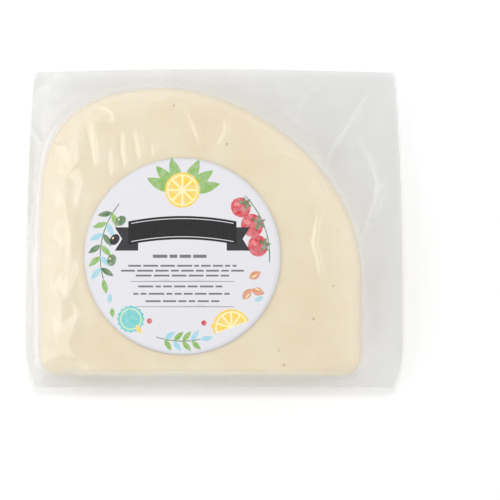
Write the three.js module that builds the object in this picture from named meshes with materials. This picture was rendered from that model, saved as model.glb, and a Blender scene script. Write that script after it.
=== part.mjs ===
// A half-round block of halloumi, vacuum-packed in a clear sealed pouch with a round paper label on its
// face. The pack lies on its back with the label up. Millimetres, +X to the right, +Y up the label, +Z up.
import * as THREE from "three";

// Driving dimensions: the pouch's flat edge all round
const POUCH = {
  halfWidth: 77,
  halfHeight: 65,
  topCornerInset: 3.4, // the top corners sit this far in from the widest part
  topBow: 1.2, // the top edge rises this much between its corners
  drawInFrom: 19, // height above the bottom edge where the sides begin to draw in
  drawIn: 3.6, // how far they draw in by the bottom corners
  cornerRound: 2.4,
};
const SHOULDER_OF_SIDE = 25; // height where the sides start to lean in towards the top corners

// Driving dimensions: outlines of the block, each a flat base, two flanks and a domed top
const WIDEST = {
  left: -71.4, right: 60.2, top: 57.4, bottom: -60.4, apex: -20, flank: 8, shoulder: -20, corner: 9,
};
const FACE = {
  left: -55.5, right: 42, top: 46, bottom: -57.6, apex: -18, flank: 4, shoulder: -18, corner: 5,
};
const BACK = {
  left: -60, right: 49, top: 47, bottom: -58.4, apex: -18, flank: 4, shoulder: -18, corner: 6,
};
const TIGHT_BEND = 0.7; // share of the way to the corner for the left shoulder's handles
const WIDE_BEND = { up: 0.6, across: 0.4 }; // the same for the long sweep on the right

// Driving dimensions: heights
const THICKNESS = 31; // back of the block to the middle of its face
const FACE_CROWN = 1.1; // how far the face falls away by the label's edge
const SEAM_HEIGHT = 12.5; // where the front and back films meet
const SKIRT_THICKNESS = 0.8; // both films where they lie together
const SKIRT_SLOPE = 0.12; // the skirt sinks this much for each millimetre out from the block
const SKIRT_FILLET = 1.6; // extra half thickness where the films part round the block
const RIPPLE = { height: 1.3, reach: 18, waves: [5, 9], phases: [0.6, 2.1] };

// Driving dimensions: pleats in the film over the upper left shoulder
const PLEATS = {
  count: 7,
  first: { x: -61, y: 37 },
  last: { x: -24, y: 38 },
  length: 17,
  lean: 0.16, // sideways run for each millimetre down
  height: 1.1,
  halfWidth: 2.2,
};

// Driving dimensions: the paper label
const LABEL_CENTRE = new THREE.Vector2(-13, -11.8);
const LABEL_RADIUS = 40;
const LABEL_THICKNESS = 0.3;
const LABEL_GAP = 0.1;
const LABEL_SEAT = 40.8; // radius of the smooth film under the label
const LABEL_CLEARANCE = 6; // the pleats die away over this distance outside that seat

// How finely the surfaces are divided
const EDGE_STEP = 3;
const OUTLINE_STEP = 1.5;
const SKIRT_RINGS = 4;
const SIDE_RINGS = 7;
const BACK_SIDE_RINGS = 5;
const SEAT_RINGS = 3;
const FACE_RINGS = 4;
const LABEL_SIDES = 72;
const LABEL_RINGS = 4;

const { lerp, smoothstep } = THREE.MathUtils;

// The pouch's cut edge: bowed sides, sharp top corners and bottom corners drawn in by the vacuum.
function pouchEdge() {
  const { halfWidth, halfHeight, topCornerInset, topBow, drawInFrom, drawIn, cornerRound } = POUCH;
  const topCorner = { x: halfWidth - topCornerInset, y: halfHeight - topBow };
  const foot = halfWidth - drawIn;
  const drawInTop = drawInFrom - halfHeight;
  const drawInBend = drawInFrom / 2 - halfHeight;
  const footSide = { x: foot + cornerRound / 4, y: cornerRound - halfHeight };
  const edge = new THREE.Path();
  edge.moveTo(cornerRound - foot, -halfHeight);
  edge.lineTo(foot - cornerRound, -halfHeight);
  edge.quadraticCurveTo(foot, -halfHeight, footSide.x, footSide.y);
  edge.quadraticCurveTo(halfWidth, drawInBend, halfWidth, drawInTop);
  edge.quadraticCurveTo(halfWidth, SHOULDER_OF_SIDE, topCorner.x, topCorner.y);
  edge.quadraticCurveTo(0, halfHeight + topBow, -topCorner.x, topCorner.y);
  edge.quadraticCurveTo(-halfWidth, SHOULDER_OF_SIDE, -halfWidth, drawInTop);
  edge.quadraticCurveTo(-halfWidth, drawInBend, -footSide.x, footSide.y);
  edge.quadraticCurveTo(-foot, -halfHeight, cornerRound - foot, -halfHeight);
  return edge;
}

// An outline of the block at one level: straight cut base, tight left shoulder, long sweep on the right.
function blockOutline({ left, right, top, bottom, apex, flank, shoulder, corner }) {
  const outline = new THREE.Path();
  outline.moveTo(left + corner, bottom);
  outline.lineTo(right - corner, bottom);
  outline.quadraticCurveTo(right, bottom, right, bottom + corner);
  outline.lineTo(right, shoulder);
  outline.bezierCurveTo(
    right, lerp(shoulder, top, WIDE_BEND.up), lerp(apex, right, WIDE_BEND.across), top, apex, top);
  outline.bezierCurveTo(
    lerp(apex, left, TIGHT_BEND), top, left, lerp(flank, top, TIGHT_BEND), left, flank);
  outline.lineTo(left, bottom + corner);
  outline.quadraticCurveTo(left, bottom, left + corner, bottom);
  return outline;
}

// Points along a path, about a step apart, with every corner kept.
function pointsAlong(path, step) {
  return path.curves.flatMap((curve) => {
    const divisions = Math.max(2, Math.round(curve.getLength() / step));
    return curve.getSpacedPoints(divisions).slice(0, -1);
  });
}

// How far a closed outline lies from the label's centre in one direction.
function reach(outline, direction) {
  for (let i = 0; i < outline.length; i += 1) {
    const from = outline[i].clone().sub(LABEL_CENTRE);
    const to = outline[(i + 1) % outline.length].clone().sub(LABEL_CENTRE);
    const before = direction.cross(from);
    const after = direction.cross(to);
    const crossing = before <= 0 && after > 0;
    if (crossing) return from.lerp(to, before / (before - after)).dot(direction);
  }
  throw new Error("the outline doesn't surround the label's centre");
}

// Height of the block's slightly crowned face.
function faceHeight(point) {
  const share = point.distanceTo(LABEL_CENTRE) / LABEL_RADIUS;
  return THICKNESS - FACE_CROWN * share * share;
}

// Height of the middle of the film skirt, which droops and ripples more the further out it is.
function skirtHeight(angle, out) {
  const wave = RIPPLE.waves.reduce((sum, n, i) => sum + Math.sin(n * angle + RIPPLE.phases[i]), 0);
  return SEAM_HEIGHT - SKIRT_SLOPE * out + RIPPLE.height * wave * Math.min(1, out / RIPPLE.reach);
}

// Height that the pleats add to the front film at a point.
function pleatRelief(point) {
  const clear = smoothstep(point.distanceTo(LABEL_CENTRE), LABEL_SEAT, LABEL_SEAT + LABEL_CLEARANCE);
  let relief = 0;
  for (let i = 0; i < PLEATS.count; i += 1) {
    const share = i / (PLEATS.count - 1);
    const middleX = lerp(PLEATS.first.x, PLEATS.last.x, share);
    const down = lerp(PLEATS.first.y, PLEATS.last.y, share) - point.y;
    const along = down / (PLEATS.length / 2);
    const across = (point.x - middleX - PLEATS.lean * down) / PLEATS.halfWidth;
    relief += PLEATS.height * Math.exp(-across * across - along * along);
  }
  return clear * relief;
}

// A closed body through rings that run from a pole above, out over the edge and back to a pole below.
function closedLoft(topPole, rings, bottomPole) {
  const sides = rings[0].length;
  const points = [topPole, ...rings.flat(), bottomPole];
  const bottom = points.length - 1;
  const at = (ring, side) => 1 + ring * sides + (side % sides);
  const triangles = [];
  for (let side = 0; side < sides; side += 1) {
    triangles.push(0, at(0, side), at(0, side + 1));
    for (let ring = 0; ring + 1 < rings.length; ring += 1) {
      triangles.push(at(ring, side), at(ring + 1, side), at(ring + 1, side + 1));
      triangles.push(at(ring, side), at(ring + 1, side + 1), at(ring, side + 1));
    }
    triangles.push(at(rings.length - 1, side + 1), at(rings.length - 1, side), bottom);
  }
  const geometry = new THREE.BufferGeometry().setFromPoints(points);
  geometry.setIndex(triangles);
  geometry.computeVertexNormals();
  return geometry;
}

// Each spoke runs from the label's centre out to one point of the pouch's edge.
function makeSpokes() {
  const widest = pointsAlong(blockOutline(WIDEST), OUTLINE_STEP);
  const face = pointsAlong(blockOutline(FACE), OUTLINE_STEP);
  const back = pointsAlong(blockOutline(BACK), OUTLINE_STEP);
  return pointsAlong(pouchEdge(), EDGE_STEP).map((edge) => {
    const direction = edge.clone().sub(LABEL_CENTRE).normalize();
    return {
      direction,
      angle: direction.angle(),
      edge: edge.distanceTo(LABEL_CENTRE),
      widest: reach(widest, direction),
      face: reach(face, direction),
      back: reach(back, direction),
    };
  });
}

function onSpoke(spoke, radius) {
  return spoke.direction.clone().multiplyScalar(radius).add(LABEL_CENTRE);
}

function raised(point, height) {
  return new THREE.Vector3(point.x, point.y, height);
}

// A point of the skirt: share 0 at the block and 1 at the cut edge, sign +1 in front and -1 behind.
function skirtPoint(spoke, share, sign) {
  const radius = lerp(spoke.widest, spoke.edge, share);
  const parting = SKIRT_FILLET * (1 - share) ** 4;
  const half = SKIRT_THICKNESS / 2 + parting;
  return raised(onSpoke(spoke, radius), skirtHeight(spoke.angle, radius - spoke.widest) + sign * half);
}

// A point of the rounded side: share 0 where the skirt joins it and 1 at the edge of the face or back.
function sidePoint(spoke, share, sign) {
  const quarter = (share * Math.PI) / 2;
  const inner = sign > 0 ? spoke.face : spoke.back;
  const point = onSpoke(spoke, lerp(inner, spoke.widest, Math.cos(quarter)));
  const seam = SEAM_HEIGHT + sign * (SKIRT_THICKNESS / 2 + SKIRT_FILLET);
  const level = sign > 0 ? faceHeight(onSpoke(spoke, inner)) : 0;
  const relief = sign > 0 ? pleatRelief(point) : 0;
  return raised(point, lerp(seam, level + relief, Math.sin(quarter)));
}

// A point of the face: share 0 at the label's seat and 1 at the edge of the face.
function facePoint(spoke, share) {
  const point = onSpoke(spoke, lerp(LABEL_SEAT, spoke.face, share));
  return raised(point, faceHeight(point) + pleatRelief(point));
}

function seatPoint(spoke, share) {
  const point = onSpoke(spoke, share * LABEL_SEAT);
  return raised(point, faceHeight(point));
}

// The sealed pouch with the block inside it, as one solid out to the film's outer surface.
function makePouch() {
  const spokes = makeSpokes();
  const ringOf = (point, ...values) => spokes.map((spoke) => point(spoke, ...values));
  const rings = [];
  for (let i = 1; i <= SEAT_RINGS; i += 1) rings.push(ringOf(seatPoint, i / SEAT_RINGS));
  for (let i = 1; i < FACE_RINGS; i += 1) rings.push(ringOf(facePoint, i / FACE_RINGS));
  for (let i = SIDE_RINGS; i > 0; i -= 1) rings.push(ringOf(sidePoint, i / SIDE_RINGS, 1));
  for (let i = 0; i <= SKIRT_RINGS; i += 1) rings.push(ringOf(skirtPoint, i / SKIRT_RINGS, 1));
  for (let i = SKIRT_RINGS; i >= 0; i -= 1) rings.push(ringOf(skirtPoint, i / SKIRT_RINGS, -1));
  for (let i = 1; i <= BACK_SIDE_RINGS; i += 1) rings.push(ringOf(sidePoint, i / BACK_SIDE_RINGS, -1));
  const geometry = closedLoft(raised(LABEL_CENTRE, THICKNESS), rings, raised(LABEL_CENTRE, 0));
  const material = new THREE.MeshStandardMaterial({ color: 0xece0c4, roughness: 0.25, metalness: 0 });
  const pouch = new THREE.Mesh(geometry, material);
  pouch.name = "pouch";
  return pouch;
}

// The round label, which follows the crown of the face just clear of the film.
function makeLabel() {
  const circlePoint = (side, radius) => {
    const angle = (2 * Math.PI * side) / LABEL_SIDES;
    return new THREE.Vector2(Math.cos(angle), Math.sin(angle)).multiplyScalar(radius).add(LABEL_CENTRE);
  };
  const ringAt = (radius, lift) =>
    Array.from({ length: LABEL_SIDES }, (_, side) => {
      const point = circlePoint(side, radius);
      return raised(point, faceHeight(point) + lift);
    });
  const radii = Array.from({ length: LABEL_RINGS }, (_, i) => (LABEL_RADIUS * (i + 1)) / LABEL_RINGS);
  const topLift = LABEL_GAP + LABEL_THICKNESS;
  const rings = [
    ...radii.map((radius) => ringAt(radius, topLift)),
    ...radii.toReversed().map((radius) => ringAt(radius, LABEL_GAP)),
  ];
  const geometry = closedLoft(
    raised(LABEL_CENTRE, THICKNESS + topLift), rings, raised(LABEL_CENTRE, THICKNESS + LABEL_GAP));
  const material = new THREE.MeshStandardMaterial({ color: 0xe7e6ea, roughness: 0.5, metalness: 0 });
  const label = new THREE.Mesh(geometry, material);
  label.name = "label";
  return label;
}

const pack = new THREE.Group();
pack.add(makePouch(), makeLabel());

export default pack;
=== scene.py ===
import math

import bpy
import numpy as np
from bpy.props import FloatProperty, FloatVectorProperty, PointerProperty
from bpy.types import Operator, Panel, PropertyGroup
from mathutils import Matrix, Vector, geometry


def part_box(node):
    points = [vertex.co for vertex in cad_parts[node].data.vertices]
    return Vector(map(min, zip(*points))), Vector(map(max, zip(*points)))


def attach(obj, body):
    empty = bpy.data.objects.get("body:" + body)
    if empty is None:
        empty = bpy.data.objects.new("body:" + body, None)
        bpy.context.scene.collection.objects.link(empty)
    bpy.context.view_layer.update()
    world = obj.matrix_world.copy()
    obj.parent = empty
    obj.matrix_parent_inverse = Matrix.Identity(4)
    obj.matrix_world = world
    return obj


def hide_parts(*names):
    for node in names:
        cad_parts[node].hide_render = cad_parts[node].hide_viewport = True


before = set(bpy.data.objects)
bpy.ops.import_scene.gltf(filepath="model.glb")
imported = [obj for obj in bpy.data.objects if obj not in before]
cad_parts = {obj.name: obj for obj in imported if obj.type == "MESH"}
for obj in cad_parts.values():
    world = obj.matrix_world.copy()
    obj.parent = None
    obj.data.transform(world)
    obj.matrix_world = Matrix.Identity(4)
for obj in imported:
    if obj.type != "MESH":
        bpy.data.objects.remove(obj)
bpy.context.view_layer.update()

bl_info = {
    "name": "Vacuum-packed halloumi block",
    "version": (1, 0, 0),
    "blender": (4, 5, 0),
    "location": "View3D > Sidebar > Halloumi",
    "description": "Cheese, clear pouch and printed label of a vacuum-packed block of halloumi",
    "category": "Object",
}

BODY = "root"
MM = 0.001

# The solids give the pack's size and the label's place
POUCH_LOW, POUCH_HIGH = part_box("pouch")
LABEL_LOW, LABEL_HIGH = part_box("label")
LABEL_CENTRE = np.array(((LABEL_LOW + LABEL_HIGH) / 2).xy)

# The pouch's flat edge, in millimetres
TOP_CORNER_INSET = 3.4
TOP_BOW = 1.2
SIDE_SHOULDER = 25
DRAW_IN_FROM = 19
DRAW_IN = 3.6
CORNER_ROUND = 2.4

# Outlines of the block where it is widest, round its face and round its back, in millimetres
WIDEST = {
    "left": -71.4, "right": 60.2, "top": 57.4, "bottom": -60.4,
    "apex": -20, "flank": 8, "shoulder": -20, "corner": 9,
}
FACE = {
    "left": -55.5, "right": 42, "top": 46, "bottom": -57.6,
    "apex": -18, "flank": 4, "shoulder": -18, "corner": 5,
}
BACK = {
    "left": -60, "right": 49, "top": 47, "bottom": -58.4,
    "apex": -18, "flank": 4, "shoulder": -18, "corner": 6,
}
TIGHT_BEND = 0.7
WIDE_BEND_UP, WIDE_BEND_ACROSS = 0.6, 0.4

# The film's edge: slow ripples, and the way the two films part round the block
RIPPLE_WAVES = ((5, 0.6), (9, 2.1))
RIPPLE_REACH = 18 * MM
FILM_HALF_GAP = 0.06 * MM
PARTING = 1.94 * MM
PARTING_LENGTH = 2.4 * MM
EDGE_FADE = 3 * MM

# Painted light on the single film, as shares of the two films' milkiness where they lie together: a milky
# layer near the block's rim that covers the shade there, and one on the left flank that paints it paler as if
# lit
RIM = 4 * MM
RIM_PAINTED_VEIL, FLANK_PAINTED_VEIL = 0.5, 0.3

# The film lies flat under the label, and creases freely out from it and up from the rim
LABEL_SEAT = 39 * MM
LABEL_MARGIN, LABEL_CLEAR = 1.5 * MM, 6 * MM
RIM_FADE = (0.05, 0.5)

# Pleats of the front film, each a groove drawn downwards with a slope up to its right:
# points in millimetres, height, width
PLEATS = (
    (((-60.6, 42.0), (-59.6, 33.0), (-57.9, 25.0)), 0.8, 4.2),
    (((-56.7, 45.0), (-57.2, 35.0), (-56.2, 25.0)), 0.5, 3.4),
    (((-52.6, 44.0), (-51.2, 35.7), (-49.0, 24.4)), 1.6, 4.6),
    (((-43.6, 33.0), (-43.2, 26.0), (-42.4, 19.6)), 0.9, 2.9),
    (((-38.2, 39.6), (-38.3, 31.0), (-36.9, 23.2)), 1.2, 3.1),
    (((-33.6, 40.4), (-32.4, 32.0), (-30.2, 25.4)), 1.2, 3.1),
    (((-26.1, 34.2), (-25.6, 30.0), (-24.7, 26.6)), 0.7, 2.1),
)
LINE_ENDS = (0.001, 0.999)
PLEAT_TAPER = 0.8
PLEAT_FALL = (0.8, 1.7)
GROOVE_WIDTH, GROOVE_DEPTH = 0.12, 0.35

# Ridges of the front film over the block, and creases of its flat edge: points, height, half width
RIDGES = (
    (((-52.0, 25.7), (-56.5, 5.3), (-59.0, -15.1), (-60.6, -29.4)), 0.3, 1.6),
    (((-50.3, 50.5), (-44.7, 49.4), (-41.0, 47.0), (-40.0, 42.3)), 0.9, 1.0),
    (((-52.2, 42.3), (-46.6, 43.2), (-43.3, 41.4)), 0.6, 1.0),
    (((-63.0, 36.0), (-67.0, 30.5)), 0.8, 1.2),
    (((43.8, 8.5), (42.6, 5.1), (40.8, -6.2), (42.6, -12.9), (43.9, -21.0)), 1.3, 0.9),
    (((39.8, 25.5), (43.0, 20.0), (46.6, 13.5)), 1.1, 0.9),
    (((-28.4, 49.8), (-16.1, 53.4), (-5.9, 49.0)), 0.9, 1.3),
    (((-10.8, 49.0), (-3.9, 31.8)), 0.8, 1.6),
    (((5.5, 49.5), (5.3, 39.0), (1.5, 32.0)), 0.9, 1.3),
    (((24.6, 31.3), (39.2, 25.7)), 0.5, 0.9),
    (((29.0, 35.0), (41.5, 26.8)), 0.5, 0.9),
)
EDGE_CREASES = (
    (((66.0, 59.5), (60.0, 50.0), (53.0, 38.5), (47.0, 31.0), (44.5, 22.0)), 0.6, 0.9),
    (((57.0, 42.5), (57.8, 37.0), (63.5, 28.0), (66.9, 17.5), (65.8, 11.0), (59.8, -3.0)), 0.65, 0.9),
    (((43.5, 58.5), (37.0, 53.5), (31.5, 47.0)), 0.4, 0.9),
    (((24.5, 50.5), (30.0, 46.5), (37.0, 38.5)), 0.35, 0.8),
    (((-22.0, 60.6), (-4.0, 60.2), (12.4, 58.0)), 0.35, 0.9),
    (((68.5, 19.0), (68.0, 11.0), (64.5, 3.0)), 0.5, 1.3),
)
RIDGE_TAPER, RIDGE_SHARPNESS = 0.5, 1.6

# Short random creases of the flat edge: how many, and the range of each draw
SMALL_CREASES = 34
SMALL_PLACE = (0.4, 0.9)
SMALL_TURN = 0.5
SMALL_REACH = (1.2, 4)
SMALL_HEIGHT = (0.12, 0.35)
SMALL_WIDTH = (0.6, 1.1)

# Facets of the crumpled left flank, and how much of them the face and the flat edge show
FACET = 6 * MM
LOOSENESS = 0.45
STEEPEST = 0.3
CRUMPLE_EDGE = -50 * MM
CRUMPLE_BLEND = 8 * MM
FACE_CRUMPLE, EDGE_CRUMPLE = 0.12, 0.1

# The lowest that creases and facets go
DEEPEST = -0.9 * MM

# How finely the film and the cheese are divided
FILM_STEP, FILM_BASE_STEP = 0.75 * MM, 2 * MM
CHEESE_STEP = 1.2 * MM
OUTLINE_STEP = 0.4 * MM
SEAT_RINGS, FACE_RINGS, SIDE_RINGS, EDGE_RINGS = 3, 22, 44, 54
BACK_EDGE_RINGS, BACK_SIDE_RINGS, BACK_RINGS = 14, 14, 3
CHEESE_BACK_SIDE_RINGS, CHEESE_WALL_RINGS = 24, 3
SEED = 7

# The label's artwork is laid out in millimetres on a label of this radius
ARTWORK_RADIUS = 40


def linear(red, green, blue):
    """A screen colour of three numbers from 0 to 255 as the linear colour that shaders take."""
    shares = (value / 255 for value in (red, green, blue))
    return tuple(s / 12.92 if s <= 0.04045 else ((s + 0.055) / 1.055) ** 2.4 for s in shares)


def length(name, description, default):
    return FloatProperty(name=name, description=description, default=default, unit="LENGTH", precision=5)


def share(name, description, default):
    return FloatProperty(
        name=name, description=description, default=default, min=0, max=1, subtype="FACTOR")


def colour(name, description, default):
    return FloatVectorProperty(
        name=name, description=description, default=default, size=3, min=0, max=1, subtype="COLOR")


class HalloumiBlockSettings(PropertyGroup):
    """Sizes and colours of the cheese"""

    thickness: length("Thickness", "Back of the block to the middle of its face", POUCH_HIGH.z)
    face_crown: length("Face crown", "How far the face falls away by the label's edge", 1.1 * MM)
    film_gap: length("Film gap", "How far the cheese lies under the film", 0.3 * MM)
    imprint: share("Imprint", "Share of the film's creases that the cheese takes up", 0.6)
    unevenness: length("Unevenness", "Height of the slow waves in the cheese", 0.2 * MM)
    cream: colour("Cream", "The cheese's main colour", linear(243, 234, 210))
    shade: colour("Shade", "The cheese's deeper patches", linear(240, 223, 191))
    # Painted shade: the small pits are coloured darker, as the shade that falls in them
    pit_shade: colour("Pore", "Small pits in the cheese", linear(196, 172, 132))


class HalloumiPouchSettings(PropertyGroup):
    """Sizes and finish of the clear film"""

    half_width: length("Half width", "Half the pouch's width", (POUCH_HIGH.x - POUCH_LOW.x) / 2)
    half_height: length("Half height", "Half the pouch's height", (POUCH_HIGH.y - POUCH_LOW.y) / 2)
    seam_height: length("Seam height", "Height where the front and back films meet", 12.5 * MM)
    slope: FloatProperty(
        name="Edge slope", description="Fall of the film edge for each unit out from the block", default=0.12)
    ripple: length("Ripple", "Height of the slow ripples in the film edge", 1.3 * MM)
    crumple: length("Crumple", "Height of the facets over the left flank", 0.5 * MM)
    tint: colour("Tint", "What one layer of film lets through", (0.985, 0.985, 0.982))
    haze: share("Haze", "How milky one layer of film is over the cheese", 0.03)
    edge_haze: share("Edge haze", "How milky each layer is where two lie together", 0.27)
    milk: colour("Milk", "Colour of the film's milkiness", (0.76, 0.76, 0.76))
    # Painted highlight: the flat edge's creases are painted paler and milkier, standing in for the light
    # their folds catch
    painted_crease_glint: colour("Crease", "Colour of the milky creases", (0.95, 0.95, 0.95))
    crease_glint_strength: share("Fold haze", "How much milkier a crease of the flat edge is", 0.14)
    # Painted light: the panes are random patches of film painted paler, standing in for crumpled facets that
    # catch the light
    pane: length("Pane", "Size of the film's paler panes", 14 * MM)
    painted_facet_tone: share("Pane tone", "How far the palest pane goes towards the creases' colour", 0.5)
    gloss: share("Gloss", "How much light one layer of film throws straight back", 0.1)
    steep_gloss: share("Steep gloss", "How much light steep film throws back", 0.45)
    roughness: share("Roughness", "Roughness of the film's gloss", 0.24)


class HalloumiLabelSettings(PropertyGroup):
    """Sizes and inks of the printed label"""

    radius: length("Radius", "Radius of the paper", (LABEL_HIGH.x - LABEL_LOW.x) / 2)
    thickness: length("Thickness", "Thickness of the paper", 0.2 * MM)
    gap: length("Gap", "Glue line between film and paper", 0.08 * MM)
    waviness: length("Waviness", "Height of the paper's slow waves", 0.12 * MM)
    paper: colour("Paper", "Unprinted paper", linear(223, 222, 227))
    charcoal: colour("Charcoal", "Ink of the ribbon", linear(14, 14, 16))
    slate: colour("Slate", "Ink of the ribbon's tails", linear(46, 46, 50))
    grey: colour("Grey", "Ink of the fine lines", linear(116, 116, 124))
    red: colour("Red", "Ink of the tomatoes", linear(206, 40, 52))
    rose: colour("Rose", "Ink of the tomatoes' light side", linear(232, 110, 108))
    green: colour("Green", "Ink of the mint", linear(128, 178, 70))
    forest: colour("Forest", "Ink of the stems and olives", linear(72, 116, 60))
    lemon: colour("Lemon", "Ink of the lemons", linear(246, 206, 52))
    pith: colour("Pith", "Ink of the lemons' pale parts", linear(253, 240, 178))
    teal: colour("Teal", "Ink of the badge", linear(100, 202, 200))
    sky: colour("Sky", "Ink of the pale leaves", linear(150, 208, 222))
    clay: colour("Clay", "Ink of the almonds", linear(216, 138, 92))


class HalloumiStageSettings(PropertyGroup):
    """Camera, light and floor"""

    camera_distance: length("Camera distance", "Camera to the pack", 4.0)
    view_width: length("View width", "Width of the picture at the pack", 204 * MM)
    view_x: length("View X", "Middle of the picture across", 14.5 * MM)
    view_y: length("View Y", "Middle of the picture up the label", -9 * MM)
    view_z: length("View Z", "Height of the middle of the picture", 20 * MM)
    elevation: FloatProperty(
        name="Elevation", description="Camera's angle above the floor",
        default=math.radians(89), subtype="ANGLE")
    floor: colour("Floor", "Pale floor", (0.84, 0.84, 0.84))
    floor_glow: FloatProperty(
        name="Floor glow", description="Light that the floor gives itself", default=0.15)
    sky: FloatVectorProperty(
        name="Sky", description="Strength of the sky to the sides, the ends and overhead",
        default=(1.15, 0.7, 0.4), size=3)


# Plane curves

def bezier_points(controls, step):
    """Points along one Bezier piece, about a step apart, without its last point."""
    controls = np.array(controls, float)
    degree = len(controls) - 1
    count = max(2, round(np.linalg.norm(np.diff(controls, axis=0), axis=1).sum() / step))
    t = np.arange(count) / count
    weights = [math.comb(degree, k) * t**k * (1 - t) ** (degree - k) for k in range(degree + 1)]
    return np.stack(weights, 1) @ controls


def lerp(start, end, t):
    return start + (end - start) * t


def smoothstep(value, low, high):
    t = np.clip((value - low) / (high - low), 0, 1)
    return t * t * (3 - 2 * t)


def pouch_edge(pouch):
    """The pouch's cut edge as Bezier pieces: bowed sides and bottom corners drawn in by the vacuum."""
    wide, high = pouch.half_width, pouch.half_height
    top_x, top_y = wide - TOP_CORNER_INSET * MM, high - TOP_BOW * MM
    foot = wide - DRAW_IN * MM
    corner = CORNER_ROUND * MM
    bend, draw_in = DRAW_IN_FROM * MM / 2 - high, DRAW_IN_FROM * MM - high
    side_x, side_y = foot + corner / 4, corner - high
    shoulder = SIDE_SHOULDER * MM
    return [
        [(corner - foot, -high), (foot - corner, -high)],
        [(foot - corner, -high), (foot, -high), (side_x, side_y)],
        [(side_x, side_y), (wide, bend), (wide, draw_in)],
        [(wide, draw_in), (wide, shoulder), (top_x, top_y)],
        [(top_x, top_y), (0, high + TOP_BOW * MM), (-top_x, top_y)],
        [(-top_x, top_y), (-wide, shoulder), (-wide, draw_in)],
        [(-wide, draw_in), (-wide, bend), (-side_x, side_y)],
        [(-side_x, side_y), (-foot, -high), (corner - foot, -high)],
    ]


def block_outline(left, right, top, bottom, apex, flank, shoulder, corner):
    """One outline of the block: straight cut base, tight left shoulder and a long sweep on the right."""
    sweep_up = lerp(shoulder, top, WIDE_BEND_UP)
    sweep_across = lerp(apex, right, WIDE_BEND_ACROSS)
    bend_across, bend_up = lerp(apex, left, TIGHT_BEND), lerp(flank, top, TIGHT_BEND)
    return [
        [(left + corner, bottom), (right - corner, bottom)],
        [(right - corner, bottom), (right, bottom), (right, bottom + corner)],
        [(right, bottom + corner), (right, shoulder)],
        [(right, shoulder), (right, sweep_up), (sweep_across, top), (apex, top)],
        [(apex, top), (bend_across, top), (left, bend_up), (left, flank)],
        [(left, flank), (left, bottom + corner)],
        [(left, bottom + corner), (left, bottom), (left + corner, bottom)],
    ]


class Spokes:
    """Lines from the label's centre out to the cut edge, with the block's outlines along each."""

    def __init__(self, pouch, step, base_step):
        base, *sides = pouch_edge(pouch)
        points = [bezier_points(base, base_step), *(bezier_points(side, step) for side in sides)]
        out = np.concatenate(points) - LABEL_CENTRE
        self.edge = np.hypot(*out.T)
        self.angle = np.arctan2(out[:, 1], out[:, 0])
        self.direction = out / self.edge[:, None]
        self.widest = self.reach(WIDEST)
        self.face = self.reach(FACE)
        self.back = self.reach(BACK)

    def reach(self, outline):
        """How far an outline lies from the label's centre along each spoke."""
        pieces = block_outline(**outline)
        points = np.concatenate([bezier_points(p, OUTLINE_STEP / MM) for p in pieces]) * MM - LABEL_CENTRE
        angles = np.arctan2(points[:, 1], points[:, 0])
        return np.interp(self.angle, angles, np.hypot(*points.T), period=2 * math.pi)

    def raised(self, radius, height):
        """Rows of points at these distances along the spokes and these heights."""
        flat = LABEL_CENTRE + radius[..., None] * self.direction
        return np.concatenate([flat, np.broadcast_to(height, radius.shape)[..., None]], -1)


# The pack's surfaces, as rows of points from the label's centre outwards

def rising(count):
    """A column of shares from just above 0 up to 1."""
    return np.arange(1, count + 1)[:, None] / count


def face_height(block, radius):
    label_radius = (LABEL_HIGH.x - LABEL_LOW.x) / 2
    return block.thickness - block.face_crown * (radius / label_radius) ** 2


def block_front(spokes, block, pouch):
    """The front of the block out to its widest line, and how freely the film can crease on each row."""
    seat = rising(SEAT_RINGS) * np.full_like(spokes.face, LABEL_SEAT)
    face = lerp(LABEL_SEAT, spokes.face, rising(FACE_RINGS)[:-1])
    quarter = np.linspace(math.pi / 2, 0, SIDE_RINGS + 1)[:, None]
    side = lerp(spokes.face, spokes.widest, np.cos(quarter))
    parted = pouch.seam_height + FILM_HALF_GAP + PARTING
    side_height = lerp(parted, face_height(block, spokes.face), np.sin(quarter))
    radius = np.concatenate([seat, face, side])
    height = np.concatenate([face_height(block, seat), face_height(block, face), side_height])
    off_label = smoothstep(radius, LABEL_SEAT + LABEL_MARGIN, LABEL_SEAT + LABEL_CLEAR)
    off_rim = smoothstep(np.sin(quarter), *RIM_FADE) * np.ones_like(side)
    freedom = off_label * np.concatenate([off_label[:-len(side)], off_rim])
    return spokes.raised(radius, height), freedom


def block_back(spokes, pouch, rings, back_rings):
    """The back of the block from its widest line in to its middle."""
    quarter = rising(rings) * math.pi / 2
    parted = pouch.seam_height - FILM_HALF_GAP - PARTING
    side = spokes.raised(lerp(spokes.back, spokes.widest, np.cos(quarter)), lerp(parted, 0, np.sin(quarter)))
    inner = (1 - rising(back_rings)[:-1]) * spokes.back
    return np.concatenate([side, spokes.raised(inner, np.zeros_like(inner))])


def film_edge(spokes, pouch, rings, sign):
    """One film of the flat edge, from the block out to the cut."""
    out = rising(rings) * (spokes.edge - spokes.widest)
    wave = sum(np.sin(count * spokes.angle + phase) for count, phase in RIPPLE_WAVES)
    middle = pouch.seam_height - pouch.slope * out
    middle = middle + pouch.ripple * wave * np.minimum(1, out / RIPPLE_REACH)
    half = FILM_HALF_GAP + PARTING * np.exp(-out / PARTING_LENGTH)
    return spokes.raised(spokes.widest + out, middle + sign * half), out


def row_normals(rows):
    along = np.gradient(rows, axis=0)
    around = np.roll(rows, -1, axis=1) - np.roll(rows, 1, axis=1)
    normal = np.cross(along, around)
    return normal / np.linalg.norm(normal, axis=-1, keepdims=True)


# Creases

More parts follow.
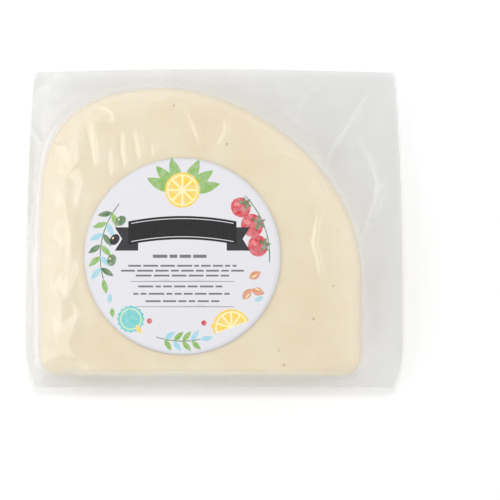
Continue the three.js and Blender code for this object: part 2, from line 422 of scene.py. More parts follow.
def along_line(points, line):
    """Distance from a line of points, positive on the left of its course, and the share of it travelled."""
    line = np.array(line) * MM
    starts, steps = line[:-1], np.diff(line, axis=0)
    sizes = np.linalg.norm(steps, axis=1)
    begins = np.concatenate([[0], np.cumsum(sizes)])
    nearest = np.full(points.shape[:-1], np.inf)
    travelled = np.zeros_like(nearest)
    for start, step, size, begin in zip(starts, steps, sizes, begins):
        away = points - start
        along = np.clip((away @ step) / size**2, 0, 1)
        distance = np.linalg.norm(away - along[..., None] * step, axis=-1)
        side = np.sign(step[0] * away[..., 1] - step[1] * away[..., 0])
        closer = distance < np.abs(nearest)
        nearest = np.where(closer, distance * side, nearest)
        travelled = np.where(closer, (begin + along * size) / begins[-1], travelled)
    return nearest, travelled


def ridge_height(points, line, height, half_width):
    """A ridge along a line of points that dies away at both ends."""
    distance, travelled = along_line(points, line)
    taper = np.sin(np.clip(travelled, *LINE_ENDS) * math.pi) ** RIDGE_TAPER
    return height * MM * taper * np.exp(-(np.abs(distance / (half_width * MM)) ** RIDGE_SHARPNESS))


def pleat_height(points, line, height, width):
    """A pinched groove along a line, with a slope up on the left of its course that ends in a short fall."""
    distance, travelled = along_line(points, line)
    taper = np.sin(np.clip(travelled, *LINE_ENDS) * math.pi) ** PLEAT_TAPER
    place = distance / (width * MM)
    slope = np.sin(np.clip(place, 0, 1) * math.pi / 2) * (1 - smoothstep(place, *PLEAT_FALL))
    groove = np.exp(-((place / GROOVE_WIDTH) ** 2))
    return height * MM * taper * (slope - GROOVE_DEPTH * groove)


def small_creases(spokes, random):
    """Short random creases that run roughly outwards over the film edge."""
    creases = []
    for _ in range(SMALL_CREASES):
        at = random.integers(len(spokes.edge))
        out = lerp(spokes.widest[at], spokes.edge[at], random.uniform(*SMALL_PLACE))
        middle = LABEL_CENTRE + out * spokes.direction[at]
        turn = spokes.angle[at] + random.normal(0, SMALL_TURN)
        reach = random.uniform(*SMALL_REACH) * MM * np.array([math.cos(turn), math.sin(turn)])
        line = ((middle - reach) / MM, (middle + reach) / MM)
        creases.append((line, random.uniform(*SMALL_HEIGHT), random.uniform(*SMALL_WIDTH)))
    return creases


def facets(rows, random):
    """Flat triangles between loose points of a surface: their height over it, and random lifts on them."""
    flat, heights = rows[..., :2].reshape(-1, 2), rows[..., 2].ravel()
    across, up = (np.arange(POUCH_LOW[i] - FACET, POUCH_HIGH[i] + 2 * FACET, FACET) for i in (0, 1))
    corners = np.stack(np.meshgrid(across, up), -1).reshape(-1, 2)
    corners = corners + random.uniform(-LOOSENESS, LOOSENESS, corners.shape) * FACET
    lifts = random.normal(0, 1, len(corners))
    nearest = [np.argmin(((flat - corner) ** 2).sum(1)) for corner in corners]
    away, normal = corners - flat[nearest], row_normals(rows).reshape(-1, 3)[nearest]
    lean = (away * normal[:, :2]).sum(1) / np.maximum(normal[:, 2], STEEPEST)
    bases = heights[nearest] - np.where(np.linalg.norm(away, axis=1) < FACET / 4, lean, 0)
    cut, raised = np.zeros(len(flat)), np.zeros(len(flat))
    for triangle in geometry.delaunay_2d_cdt([Vector(c) for c in corners / MM], [], [], 0, 1e-5)[2]:
        box = corners[triangle]
        near = np.flatnonzero(((flat >= box.min(0)) & (flat <= box.max(0))).all(1))
        u, v = np.linalg.solve((box[1:] - box[0]).T, (flat[near] - box[0]).T)
        inside = (u >= 0) & (v >= 0) & (u + v <= 1)
        shares = np.stack([1 - u - v, u, v], -1)[inside]
        near = near[inside]
        cut[near] = shares @ bases[triangle] - heights[near]
        raised[near] = shares @ lifts[triangle]
    return cut.reshape(rows.shape[:-1]), raised.reshape(rows.shape[:-1])


def on_flank(points):
    """How far points lie on the crumpled left flank."""
    return 1 - smoothstep(points[..., 0], CRUMPLE_EDGE - CRUMPLE_BLEND, CRUMPLE_EDGE)


def film_relief(rows, spokes, pouch):
    """Height of the creases and facets of the front film over its smooth shape."""
    points = rows[..., :2]
    random = np.random.default_rng(SEED)
    on_block = np.linalg.norm(points - LABEL_CENTRE, axis=-1) < spokes.widest
    flank = on_flank(points) * np.where(on_block, 1, EDGE_CRUMPLE)
    cut, raised = facets(rows, random)
    relief = cut * flank * row_normals(rows)[..., 2] + raised * pouch.crumple * lerp(FACE_CRUMPLE, 1, flank)
    for pleat in PLEATS:
        relief += pleat_height(points, *pleat)
    for ridge in (*RIDGES, *EDGE_CREASES, *small_creases(spokes, random)):
        relief += ridge_height(points, *ridge)
    return np.maximum(relief, DEEPEST)


# Meshes

def add_piece(name, mesh, material, slot, *nodes):
    """Puts a mesh in the scene as a piece that stands for these solids."""
    mesh.materials.append(material)
    piece = bpy.data.objects.new(name, mesh)
    bpy.context.scene.collection.objects.link(piece)
    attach(piece, BODY)
    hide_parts(*nodes)


def ring_mesh(name, rows, first_pole, last_pole):
    """A closed smooth mesh through rings of points, shut by a pole at each end."""
    count, sides = rows.shape[:2]
    points = np.concatenate([[first_pole], rows.reshape(-1, 3), [last_pole]])
    ring = 1 + np.arange(count * sides).reshape(count, sides)
    following = np.roll(ring, -1, axis=1)
    quads = np.stack([ring[:-1], ring[1:], following[1:], following[:-1]], -1).reshape(-1, 4)
    first_cap = [(0, a, b) for a, b in zip(ring[0].tolist(), following[0].tolist())]
    last = len(points) - 1
    last_cap = [(last, b, a) for a, b in zip(ring[-1].tolist(), following[-1].tolist())]
    mesh = bpy.data.meshes.new(name)
    mesh.from_pydata(points.tolist(), [], quads.tolist() + first_cap + last_cap)
    mesh.shade_smooth()
    return mesh


def film_mesh(block, pouch):
    """Both films as one closed skin: front, flat edge and back."""
    spokes = Spokes(pouch, FILM_STEP, FILM_BASE_STEP)
    front, freedom = block_front(spokes, block, pouch)
    front += row_normals(front) * (film_relief(front, spokes, pouch) * freedom)[..., None]
    edge, out = film_edge(spokes, pouch, EDGE_RINGS, 1)
    edge_relief = np.maximum(film_relief(edge, spokes, pouch), 0)
    edge[..., 2] += edge_relief * smoothstep(out, 0, EDGE_FADE)
    back_edge, back_out = film_edge(spokes, pouch, BACK_EDGE_RINGS, -1)
    back = block_back(spokes, pouch, BACK_SIDE_RINGS, BACK_RINGS)
    rows = np.concatenate([front, edge, back_edge[::-1], back])
    mesh = ring_mesh("pouch_film", rows, (*LABEL_CENTRE, block.thickness), (*LABEL_CENTRE, 0))
    # Painted light: the single front film is made milkier near the rim, over the shade there, and on the lit
    # left flank; the two films of the flat edge are milky for real
    near_rim = 1 - smoothstep(front[..., 2], pouch.seam_height, pouch.seam_height + RIM)
    painted_veil = np.maximum(RIM_PAINTED_VEIL * near_rim, FLANK_PAINTED_VEIL * on_flank(front))
    bare_back = np.zeros(back.shape[:2])
    double = np.concatenate([painted_veil, np.ones_like(out), np.ones_like(back_out), bare_back])
    # Painted highlight mask: how strongly the film along the flat edge's creases is painted paler
    crease_glint_relief = sum(ridge_height(edge[..., :2], *painted_crease_glint) for painted_crease_glint in EDGE_CREASES) / MM
    fold = np.concatenate([np.zeros_like(painted_veil), np.clip(crease_glint_relief, 0, 1), np.zeros_like(back_out), bare_back])
    for name, values in (("double", double), ("fold", fold)):
        attribute = mesh.attributes.new(name, "FLOAT", "POINT")
        attribute.data.foreach_set("value", np.concatenate([[0], values.ravel(), [0]]))
    return mesh


def slow_waves(points, random, height, waves=7, shortest=14, longest=40):
    """A gentle random swell."""
    total = np.zeros(points.shape[:-1])
    for _ in range(waves):
        turn, size = random.uniform(0, 2 * math.pi), random.uniform(shortest, longest) * MM
        phase = (points @ np.array([math.cos(turn), math.sin(turn)])) / size + random.uniform()
        total += np.sin(2 * math.pi * phase)
    return height * total / math.sqrt(waves)


def cheese_mesh(block, pouch):
    """The block of cheese just inside the film, with the film's creases pressed into it."""
    spokes = Spokes(pouch, CHEESE_STEP, CHEESE_STEP)
    front, freedom = block_front(spokes, block, pouch)
    random = np.random.default_rng(SEED + 1)
    film = film_relief(front, spokes, pouch) * freedom
    pressed = film * block.imprint + slow_waves(front[..., :2], random, block.unevenness) * freedom
    pressed = np.minimum(pressed - block.film_gap, film - block.film_gap / 2)
    front += row_normals(front) * pressed[..., None]
    parted = FILM_HALF_GAP + PARTING
    level = pouch.seam_height + parted * (1 - 2 * rising(CHEESE_WALL_RINGS))
    reach = np.broadcast_to(spokes.widest - block.film_gap, (CHEESE_WALL_RINGS, len(spokes.edge)))
    wall = spokes.raised(reach, level)
    back = block_back(spokes, pouch, CHEESE_BACK_SIDE_RINGS, BACK_RINGS)
    back -= row_normals(back) * block.film_gap
    rows = np.concatenate([front, wall, back])
    front_pole = (*LABEL_CENTRE, block.thickness - block.film_gap)
    return ring_mesh("cheese_block", rows, front_pole, (*LABEL_CENTRE, block.film_gap))


# The label's artwork

def turned(points, x, y, turn):
    """Points turned about the origin and moved to x, y."""
    c, s = math.cos(turn), math.sin(turn)
    return np.asarray(points) @ np.array([[c, s], [-s, c]]) + (x, y)


def oval(x, y, half_width, half_height, turn=0, sides=28):
    t = np.arange(sides) / sides * 2 * math.pi
    return turned(np.stack([half_width * np.cos(t), half_height * np.sin(t)], 1), x, y, turn)


def leaf(x, y, size, width, turn, sides=9):
    """A pointed leaf that starts at x, y and points along its turn."""
    t = np.linspace(0, 1, sides)
    half = width / 2 * np.sin(t * math.pi) ** 0.85 * (1.15 - 0.3 * t)
    upper = np.stack([t * size, half], 1)
    lower = np.stack([t * size, -half], 1)[-2:0:-1]
    return turned(np.concatenate([upper, lower]), x, y, turn)


def bar(x, y, width, height):
    return [(x, y), (x + width, y), (x + width, y + height), (x, y + height)]


def stroke(points, width):
    """A line of one width through points."""
    points = np.asarray(points, float)
    along = np.gradient(points, axis=0)
    side = np.stack([-along[:, 1], along[:, 0]], 1)
    side = side / np.linalg.norm(along, axis=1, keepdims=True) * width / 2
    return np.concatenate([points + side, (points - side)[::-1]])


def arc(radius, start, end, count=14):
    """Points on a circle about the label's centre, with angles in degrees."""
    t = np.radians(np.linspace(start, end, count))
    return np.stack([radius * np.cos(t), radius * np.sin(t)], 1)


def lemon_slice(x, y, radius, start=0, end=360, segments=8):
    """A slice of lemon, whole or cut: rind, pith and segments."""
    def sector(size, first, last, near=0.0):
        t = np.radians(np.linspace(first, last, max(4, round(abs(last - first) / 12))))
        rim = np.stack([size * np.cos(t), size * np.sin(t)], 1)
        hub = near * np.array([math.cos((t[0] + t[-1]) / 2), math.sin((t[0] + t[-1]) / 2)])
        return np.concatenate([rim, [hub]]) + (x, y)

    whole = end - start == 360
    disc = (lambda size: oval(x, y, size, size)) if whole else (lambda size: sector(size, start, end))
    shapes = [("lemon", disc(radius)), ("pith", disc(radius * 0.88))]
    pitch = (end - start) / segments
    for i in range(segments):
        first = start + (i + 0.1) * pitch
        shapes.append(("lemon", sector(radius * 0.8, first, first + 0.8 * pitch, radius * 0.14)))
    return shapes


def tomato(x, y, radius, turn):
    """A tomato with a light side and a five-leaved calyx."""
    shapes = [("red", oval(x, y, radius, radius * 0.93, turn))]
    light_x, light_y = x - radius * 0.38, y + radius * 0.3
    shapes.append(("rose", oval(light_x, light_y, radius * 0.3, radius * 0.2, turn + 0.7, 16)))
    top = turned([(0, radius * 0.55)], x, y, turn)[0]
    for i in range(5):
        heading = turn + math.pi / 2 + (i - 2) * 1.05
        shapes.append(("forest", leaf(*top, radius * 0.72, radius * 0.24, heading, 7)))
    return shapes


def sprig(line, leaf_size, leaf_width, inks, lean=0.85):
    """A stem along a line of points, with leaves to both sides."""
    line = np.asarray(line, float)
    shapes = [("forest", stroke(line, 0.4))]
    along = np.gradient(line, axis=0)
    for i in range(1, len(line) - 1):
        heading = math.atan2(along[i][1], along[i][0])
        for side in (-1, 1):
            ink = inks[(2 * i + side) % len(inks)]
            shapes.append((ink, leaf(*line[i], leaf_size, leaf_width, heading + side * lean)))
    tip = math.atan2(*(along[-1][::-1]))
    shapes.append((inks[0], leaf(*line[-1], leaf_size, leaf_width, tip)))
    return shapes


def olive(x, y, turn, ink):
    return [(ink, oval(x, y, 2.4, 1.8, turn)), ("pith", oval(x - 0.7, y + 0.6, 0.55, 0.3, turn, 12))]


def ribbon(x, y, width, height, arch):
    """A bare arched ribbon with notched tails and a fine pale line along each border."""
    def band(low, high, left, right, count=21):
        t = np.linspace(left, right, count)
        rise = arch * (1 - (2 * t / width) ** 2)
        lower = np.stack([x + t, y + low + rise], 1)
        upper = np.stack([x + t, y + high + rise], 1)[::-1]
        return np.concatenate([lower, upper])

    half, tail, drop = width / 2, 7.5, 2.4
    shapes = []
    for side in (-1, 1):
        inner, outer = x + side * (half - 4), x + side * (half + tail - 2)
        middle = y - drop
        shapes.append(("slate", [
            (inner, middle - height / 2), (outer, middle - height / 2), (outer - side * 3, middle),
            (outer, middle + height / 2), (inner, middle + height / 2)][::side]))
    shapes.append(("charcoal", band(-height / 2, height / 2, -half, half)))
    for level in (-height / 2 + 0.9, height / 2 - 1.2):
        shapes.append(("paper", band(level, level + 0.3, 1.2 - half, half - 1.2)))
    return shapes


def word_lines(random):
    """Rows of short grey bars in the place of small print, between fine rules."""
    shapes = []
    for y, width, height in (
        (-0.6, 24, 1.3), (-4.2, 44, 0.75), (-6.2, 50, 0.75), (-8.2, 38, 0.75),
        (-12.6, 36, 0.75), (-15.6, 40, 0.75), (-18.6, 30, 0.75),
    ):
        x = -width / 2
        while x < width / 2 - 1.5:
            size = min(random.uniform(1.8, 6.5), width / 2 - x)
            shapes.append(("grey", bar(x, y, size, height)))
            x += size + 0.9
    for y in (-10.3, -20.6):
        shapes.append(("grey", bar(-21, y, 42, 0.22)))
    return shapes


def badge(x, y, radius):
    """A bare round badge with a scalloped edge and a fine pale ring."""
    t = np.arange(96) / 96 * 2 * math.pi
    reach = radius * (1 + 0.05 * np.cos(16 * t))
    edge = np.stack([x + reach * np.cos(t), y + reach * np.sin(t)], 1)
    return [
        ("teal", edge), ("pith", oval(x, y, radius * 0.8, radius * 0.8)),
        ("teal", oval(x, y, radius * 0.74, radius * 0.74)),
    ]


def scattered_bits():
    """Loose leaves near the label's edge and round berries further in: angle in degrees, distance, ink."""
    shapes = []
    for angle, reach, ink in (
        (207, 33, "sky"), (216, 35.5, "green"), (328, 34.5, "sky"), (243, 29.5, "red"),
        (288, 28.5, "red"), (294, 31, "lemon"), (236, 33.5, "lemon"),
    ):
        x, y = arc(reach, angle, angle, 1)[0]
        loose_leaf, berry = leaf(x, y, 4.2, 1.9, math.radians(angle + 60)), oval(x, y, 1.1, 1.1)
        shapes.append((ink, loose_leaf if reach > 32 else berry))
    return shapes


def artwork(random):
    """The label's print in order, as pairs of ink and outline, in millimetres from the label's centre."""
    shapes = []
    for turn in (0.35, 0.75, 1.2, math.pi - 1.2, math.pi - 0.75, math.pi - 0.35):
        shapes.append(("green", leaf(3.5 * math.cos(turn), 25.5 + 3 * math.sin(turn), 12.5, 4.6, turn - 0.1)))
    shapes += lemon_slice(0, 27, 7.2)
    shapes += sprig(arc(33.5, 140, 196, 8), 6.2, 2.3, ("green", "forest", "sky"))
    for angle, reach, ink in ((150, 29, "forest"), (166, 28.4, "slate"), (183, 28.8, "forest")):
        shapes += olive(*(arc(reach, angle, angle, 1)[0]), math.radians(angle + 70), ink)
    shapes.append(("forest", stroke(arc(35.5, 44, -4), 0.45)))
    for angle, size in ((40, 4.2), (24, 4.8), (8, 4.4)):
        shapes += tomato(*(arc(31, angle, angle, 1)[0]), size, math.radians(angle - 90))
    shapes += ribbon(0, 9.5, 44, 9.5, 2.2)
    shapes += word_lines(random)
    shapes += badge(-21, -25.5, 5.4)
    shapes += lemon_slice(20, -29, 7.6, 20, 200, 5)
    for x, y, turn in ((29.5, -9, 0.5), (30.5, -13.5, -0.3), (27, -17.5, 0.9)):
        shapes.append(("clay", leaf(x - 2.4, y, 5.6, 3.3, turn)))
        shapes.append(("pith", leaf(x - 1.2, y + 0.5, 2.6, 0.5, turn)))
    shapes += sprig(arc(34.5, 252, 282, 6), 5.4, 2.1, ("sky", "green", "green"))
    shapes += scattered_bits()
    return shapes


def anticlockwise(outline):
    x, y = np.asarray(outline).T
    area = x @ np.roll(y, -1) - y @ np.roll(x, -1)
    return outline if area > 0 else outline[::-1]


def printed_sheet(radius, shapes):
    """A flat round sheet cut along every printed outline: its points, triangles and each triangle's ink."""
    rim = [Vector(p) for p in oval(0, 0, radius, radius, sides=240)]
    points, faces, inks = list(rim), [list(range(len(rim)))], ["paper"]
    for ink, outline in shapes:
        faces.append(list(range(len(points), len(points) + len(outline))))
        points += [Vector(p) for p in anticlockwise(outline)]
        inks.append(ink)
    for reach in np.arange(2, radius - 1, 2):
        points += [Vector(p) for p in oval(0, 0, reach, reach, sides=round(math.pi * reach))]
    inside_borders = 1
    flat, _, triangles, _, _, origins = geometry.delaunay_2d_cdt(points, [], faces, inside_borders, 1e-5)
    kept = [(t, inks[max(origin)]) for t, origin in zip(triangles, origins) if origin]
    return np.array(flat), [t for t, _ in kept], [ink for _, ink in kept]


def label_mesh(block, label):
    """The paper label: a thin wavy disc whose upper triangles carry their ink as a colour."""
    random = np.random.default_rng(SEED + 2)
    flat, triangles, inks = printed_sheet(ARTWORK_RADIUS, artwork(random))
    flat = flat * (label.radius / ARTWORK_RADIUS)
    reach = np.hypot(*flat.T)
    swell = slow_waves(flat, random, 1 / 3, waves=6, shortest=12, longest=30)
    wave = label.waviness * (1 + swell)
    low = face_height(block, reach) + label.gap + np.maximum(wave, 0)
    place = flat + LABEL_CENTRE
    top = np.column_stack([place, low + label.thickness])
    bottom = np.column_stack([place, low])
    count = len(flat)
    edges = dict.fromkeys((a, b) for t in triangles for a, b in zip(t, t[1:] + t[:1]))
    border = [(a, b) for a, b in edges if (b, a) not in edges]
    under = [tuple(count + i for i in reversed(t)) for t in triangles]
    wall = [(b, a, count + a, count + b) for a, b in border]
    mesh = bpy.data.meshes.new("label_paper")
    mesh.from_pydata(np.concatenate([top, bottom]).tolist(), [], [*triangles, *under, *wall])
    mesh.shade_smooth()
    for polygon in mesh.polygons[-len(wall):]:
        polygon.use_smooth = False
    plain = ("paper", "charcoal", "slate", "grey")
    ink = mesh.color_attributes.new("ink", "FLOAT_COLOR", "CORNER")
    all_inks = inks + ["paper"] * (len(under) + len(wall))
    for polygon, name in zip(mesh.polygons, all_inks):
        value = (*getattr(label, name), 0.0 if name in plain else 1.0)
        for corner in polygon.loop_indices:
            ink.data[corner].color = value
    return mesh


# Materials

class Wire:
    """An output socket that takes part in arithmetic: every operation adds a Math node."""

    def __init__(self, finish, output):
        self.finish = finish
        self.output = output

    def joined(self, operation, first, second):
        return self.finish.node("ShaderNodeMath", {"operation": operation}, {0: first, 1: second})

    def __add__(self, other):
        return self.joined("ADD", self, other)

    def __radd__(self, other):
        return self.joined("ADD", other, self)

    def __sub__(self, other):
        return self.joined("SUBTRACT", self, other)

    def __mul__(self, other):
        return self.joined("MULTIPLY", self, other)

    def __rmul__(self, other):
        return self.joined("MULTIPLY", other, self)


class Finish:
    """One material and the nodes that make it."""

    def __init__(self, name):
        self.material = bpy.data.materials.new(name)
        self.material.use_nodes = True
        self.tree = self.material.node_tree
        self.tree.nodes.clear()
        self.place = self.node("ShaderNodeTexCoord", output="Object")

    def node(self, kind, settings=None, inputs=None, output=0):
        """Adds a node, sets its settings, then its sockets, and gives one of its outputs."""
        made = self.tree.nodes.new(kind)
        for name, value in (settings or {}).items():
            if name == "stops":
                self.set_stops(made.color_ramp, value)
            else:
                setattr(made, name, value)
        for name, value in (inputs or {}).items():
            if isinstance(value, Wire):
                self.tree.links.new(value.output, made.inputs[name])
            else:
                made.inputs[name].default_value = value
        return Wire(self, made.outputs[output])

    @staticmethod
    def set_stops(ramp, stops):
        while len(ramp.elements) < len(stops):
            ramp.elements.new(1)
        for element, (position, level) in zip(ramp.elements, stops):
            element.position = position
            element.color = (level, level, level, 1)

    def noise(self, size, detail=3.0, roughness=0.55):
        """Noise with features of about this size in metres."""
        return self.node("ShaderNodeTexNoise", inputs={
            "Vector": self.place, "Scale": 1 / size, "Detail": detail, "Roughness": roughness})

    def ramp(self, value, *stops):
        return self.node("ShaderNodeValToRGB", {"stops": stops}, {0: value})

    def blended(self, factor, first, second):
        """Two colours mixed by a factor."""
        return self.node(
            "ShaderNodeMix", {"data_type": "RGBA"},
            {0: factor, 6: opaque(first), 7: opaque(second)}, output=2)

    def bump(self, height, distance, strength=1.0):
        return self.node(
            "ShaderNodeBump", inputs={"Height": height, "Distance": distance, "Strength": strength})

    def mixed(self, factor, first, second):
        """Two shaders mixed by a factor."""
        return self.node("ShaderNodeMixShader", inputs={0: factor, 1: first, 2: second})

    def shown(self, surface):
        end = self.tree.nodes.new("ShaderNodeOutputMaterial")
        self.tree.links.new(surface.output, end.inputs["Surface"])
        return self.material


def opaque(value):
    return value if isinstance(value, Wire) else (*value, 1.0)


def cheese_finish(block):
    """Pale moist cheese: soft mottling, a fine curd grain and a few small pores darkened by painted shade."""
    f = Finish("halloumi_cheese")
    patches = f.ramp(f.noise(0.045, 3), (0.36, 0.0), (0.64, 1.0))
    grain = f.noise(0.0016, 5, 0.65)
    flecks = f.ramp(f.noise(0.011, 3), (0.38, 0.0), (0.66, 1.0))
    base = f.blended(0.5 * patches + 0.3 * flecks + 0.2 * grain, block.cream, block.shade)
    cells = f.node("ShaderNodeTexVoronoi", inputs={"Vector": f.place, "Scale": 1 / 0.009})
    pits = f.ramp(cells, (0.035, 1.0), (0.075, 0.0)) * f.ramp(f.noise(0.03, 1), (0.5, 0.0), (0.6, 1.0))
    height = grain * 0.5 + f.noise(0.006, 3) - pits
    surface = f.node("ShaderNodeBsdfPrincipled", inputs={
        # Painted shade in the pits, on top of their bump
        "Base Color": f.blended(pits * 0.8, base, block.pit_shade),
        "Roughness": 0.42 + grain * 0.12,
        "Subsurface Weight": 0.25,
        "Subsurface Radius": (1.0, 0.75, 0.45),
        "Subsurface Scale": 0.004,
        "Normal": f.bump(height, 0.00025, 0.6),
    })
    return f.shown(surface)


def film_finish(pouch):
    """Clear glossy film, faintly milky, with a fine waviness in its gloss, painted highlights along its
    creases, paler painted patches, and painted milky veils over the rim's shade and the left flank.
    """
    f = Finish("clear_film")
    height = f.noise(0.011, 3) + f.noise(0.0028, 2) * 0.25
    normal = f.bump(height, 0.0006, 0.5)
    clear = f.node("ShaderNodeBsdfTransparent", inputs={"Color": (*pouch.tint, 1)})
    # Real milkiness where two films lie together, and painted milky veils over the rim's shade and the left
    # flank
    double = f.node("ShaderNodeAttribute", {"attribute_name": "double"}, output="Fac")
    # Painted highlight mask along the flat edge's creases
    fold = f.node("ShaderNodeAttribute", {"attribute_name": "fold"}, output="Fac")
    # Painted light: random paler panes standing in for the light that the film's facets catch
    painted_facet_panes = f.node(
        "ShaderNodeTexVoronoi", inputs={"Vector": f.place, "Scale": 1 / pouch.pane}, output="Color")
    # Painted light: the milk's colour goes paler along the creases and over random patches
    tone = f.blended(fold + pouch.painted_facet_tone * painted_facet_panes, pouch.milk, pouch.painted_crease_glint)
    milky = f.node("ShaderNodeBsdfDiffuse", inputs={"Color": tone})
    # The haze carries painted milky veils and painted crease highlights besides the film's own milkiness
    haze = pouch.haze + (pouch.edge_haze - pouch.haze) * double + pouch.crease_glint_strength * fold
    body = f.mixed(haze * (0.8 + 0.4 * f.noise(0.02, 2)), clear, milky)
    gloss = f.node("ShaderNodeBsdfGlossy", inputs={
        "Color": (1, 1, 1, 1), "Roughness": pouch.roughness, "Normal": normal})
    slant = f.node("ShaderNodeLayerWeight", inputs={"Blend": 0.5, "Normal": normal}, output="Facing")
    fourth = slant * slant * slant * slant
    return f.shown(f.mixed(pouch.gloss + (pouch.steep_gloss - pouch.gloss) * fourth, body, gloss))


def label_finish(label):
    """Satin paper whose inks vary like watercolour."""
    f = Finish("printed_paper")
    colours = f.node("ShaderNodeVertexColor", {"layer_name": "ink"})
    washed = Wire(f, colours.output.node.outputs["Alpha"])
    wash = f.ramp(f.noise(0.0022, 4, 0.6), (0.35, 0.0), (0.75, 1.0))
    grain = f.noise(0.0005, 3)
    tone = f.blended(washed * wash * 0.42, colours, label.paper)
    surface = f.node("ShaderNodeBsdfPrincipled", inputs={
        "Base Color": f.blended(grain * 0.05, tone, (1, 1, 1)),
        "Roughness": 0.46 + grain * 0.1,
        "Specular IOR Level": 0.2,
        "Normal": f.bump(grain, 0.00004, 0.5),
    })
    return f.shown(surface)


def floor_finish(stage):
    f = Finish("pale_floor")
    surface = f.node("ShaderNodeBsdfPrincipled", inputs={
        "Base Color": (*stage.floor, 1), "Roughness": 0.9, "Specular IOR Level": 0.1,
        "Emission Color": (1, 1, 1, 1), "Emission Strength": stage.floor_glow})
    return f.shown(surface)


# Operators

class HALLOUMI_OT_add_cheese(Operator):
    """Add the block of cheese"""

    bl_idname = "halloumi.add_cheese"
    bl_label = "Add cheese block"

    def execute(self, context):
        scene = context.scene
        mesh = cheese_mesh(scene.halloumi_block, scene.halloumi_pouch)
        add_piece("cheese_block", mesh, cheese_finish(scene.halloumi_block), "cheese", "pouch")
        return {"FINISHED"}


class HALLOUMI_OT_add_film(Operator):
    """Add the clear sealed pouch"""

    bl_idname = "halloumi.add_film"
    bl_label = "Add pouch film"

    def execute(self, context):
        scene = context.scene
        mesh = film_mesh(scene.halloumi_block, scene.halloumi_pouch)
        add_piece("pouch_film", mesh, film_finish(scene.halloumi_pouch), "film", "pouch")
        return {"FINISHED"}


class HALLOUMI_OT_add_label(Operator):
    """Add the printed paper label"""

    bl_idname = "halloumi.add_label"
    bl_label = "Add label"

    def execute(self, context):
        scene = context.scene
        mesh = label_mesh(scene.halloumi_block, scene.halloumi_label)
        add_piece("label_paper", mesh, label_finish(scene.halloumi_label), "label", "label")
        return {"FINISHED"}


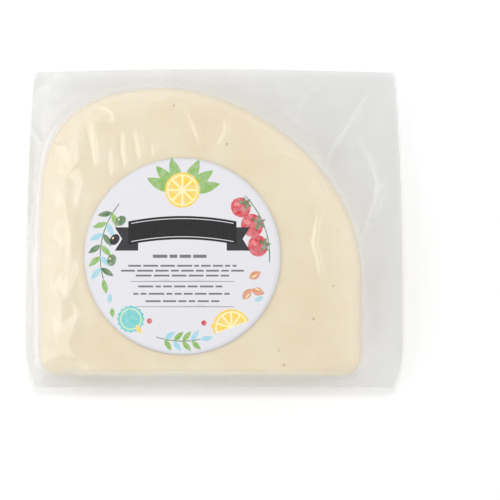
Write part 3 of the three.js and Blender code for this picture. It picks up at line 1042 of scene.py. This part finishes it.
class HALLOUMI_OT_add_stage(Operator):
    """Add the camera, the lights and the floor"""

    bl_idname = "halloumi.add_stage"
    bl_label = "Add stage"

    # Each softbox: name, place from the pack, width, height, power in watts, whether gloss shows it
    SOFTBOXES = (
        ("upper_strip", (-0.5, 0.0, 0.8), 1.1, 0.2, 0.75, True),
        ("lower_strip", (-0.82, 0.0, 0.47), 1.1, 0.3, 1.15, True),
        ("right_softbox", (0.85, -0.05, 0.55), 0.9, 0.3, 0.5, False),
        ("top_softbox", (0.0, 0.38, 1.5), 0.3, 0.3, 7.4, False),
    )

    def execute(self, context):
        scene = context.scene
        stage = scene.halloumi_stage
        self.add_camera(scene, stage)
        for softbox in self.SOFTBOXES:
            self.add_softbox(scene, *softbox)
        self.add_floor(scene, stage)
        self.add_sky(scene, stage)
        scene.view_settings.view_transform = "Standard"
        return {"FINISHED"}

    @staticmethod
    def add_sky(scene, stage):
        """A plain sky whose strength changes smoothly between the sides, the ends and overhead."""
        world = bpy.data.worlds.new("even_light")
        world.use_nodes = True
        nodes, links = world.node_tree.nodes, world.node_tree.links
        place = nodes.new("ShaderNodeTexCoord").outputs["Generated"]
        squared, strength = nodes.new("ShaderNodeVectorMath"), nodes.new("ShaderNodeVectorMath")
        squared.operation, strength.operation = "MULTIPLY", "DOT_PRODUCT"
        strength.inputs[1].default_value = stage.sky
        links.new(place, squared.inputs[0])
        links.new(place, squared.inputs[1])
        links.new(squared.outputs["Vector"], strength.inputs[0])
        links.new(strength.outputs["Value"], nodes["Background"].inputs["Strength"])
        nodes["Background"].inputs["Color"].default_value = (1, 1, 1, 1)
        scene.world = world

    @staticmethod
    def add_camera(scene, stage):
        data = bpy.data.cameras.new("camera")
        data.sensor_fit = "HORIZONTAL"
        data.lens = data.sensor_width * stage.camera_distance / stage.view_width
        camera = bpy.data.objects.new("camera", data)
        back = Vector((0, -math.cos(stage.elevation), math.sin(stage.elevation)))
        target = Vector((stage.view_x, stage.view_y, stage.view_z))
        camera.location = target + back * stage.camera_distance
        camera.rotation_euler = back.to_track_quat("Z", "Y").to_euler()
        scene.collection.objects.link(camera)
        scene.camera = camera

    @staticmethod
    def add_softbox(scene, name, place, width, height, power, in_gloss):
        data = bpy.data.lights.new(name, "AREA")
        data.shape = "RECTANGLE"
        data.size, data.size_y = width, height
        data.energy = power
        light = bpy.data.objects.new(name, data)
        light.visible_glossy = in_gloss
        light.location = place
        light.rotation_euler = Vector(place).to_track_quat("Z", "Y").to_euler()
        scene.collection.objects.link(light)

    @staticmethod
    def add_floor(scene, stage):
        mesh = bpy.data.meshes.new("floor")
        half, level = 3.0, -0.4 * MM
        mesh.from_pydata(
            [(-half, -half, level), (half, -half, level), (half, half, level), (-half, half, level)],
            [], [(0, 1, 2, 3)])
        mesh.materials.append(floor_finish(stage))
        floor = bpy.data.objects.new("floor", mesh)
        scene.collection.objects.link(floor)


class HALLOUMI_PT_panel(Panel):
    """The pieces of the pack and their settings"""

    bl_label = "Halloumi pack"
    bl_space_type = "VIEW_3D"
    bl_region_type = "UI"
    bl_category = "Halloumi"

    def draw(self, context):
        for operator in OPERATORS:
            self.layout.operator(operator.bl_idname)
        for name, _ in SETTINGS:
            settings = getattr(context.scene, name)
            box = self.layout.box()
            for key in settings.__annotations__:
                box.prop(settings, key)


SETTINGS = (
    ("halloumi_block", HalloumiBlockSettings),
    ("halloumi_pouch", HalloumiPouchSettings),
    ("halloumi_label", HalloumiLabelSettings),
    ("halloumi_stage", HalloumiStageSettings),
)
OPERATORS = (
    HALLOUMI_OT_add_stage, HALLOUMI_OT_add_cheese, HALLOUMI_OT_add_film, HALLOUMI_OT_add_label,
)


def register():
    for name, settings in SETTINGS:
        bpy.utils.register_class(settings)
        setattr(bpy.types.Scene, name, PointerProperty(type=settings))
    for cls in (*OPERATORS, HALLOUMI_PT_panel):
        bpy.utils.register_class(cls)


def unregister():
    for cls in (HALLOUMI_PT_panel, *OPERATORS):
        bpy.utils.unregister_class(cls)
    for name, settings in SETTINGS:
        delattr(bpy.types.Scene, name)
        bpy.utils.unregister_class(settings)


def main():
    register()
    bpy.ops.halloumi.add_stage()
    bpy.ops.halloumi.add_cheese()
    bpy.ops.halloumi.add_film()
    bpy.ops.halloumi.add_label()


if __name__ == "__main__":
    main()
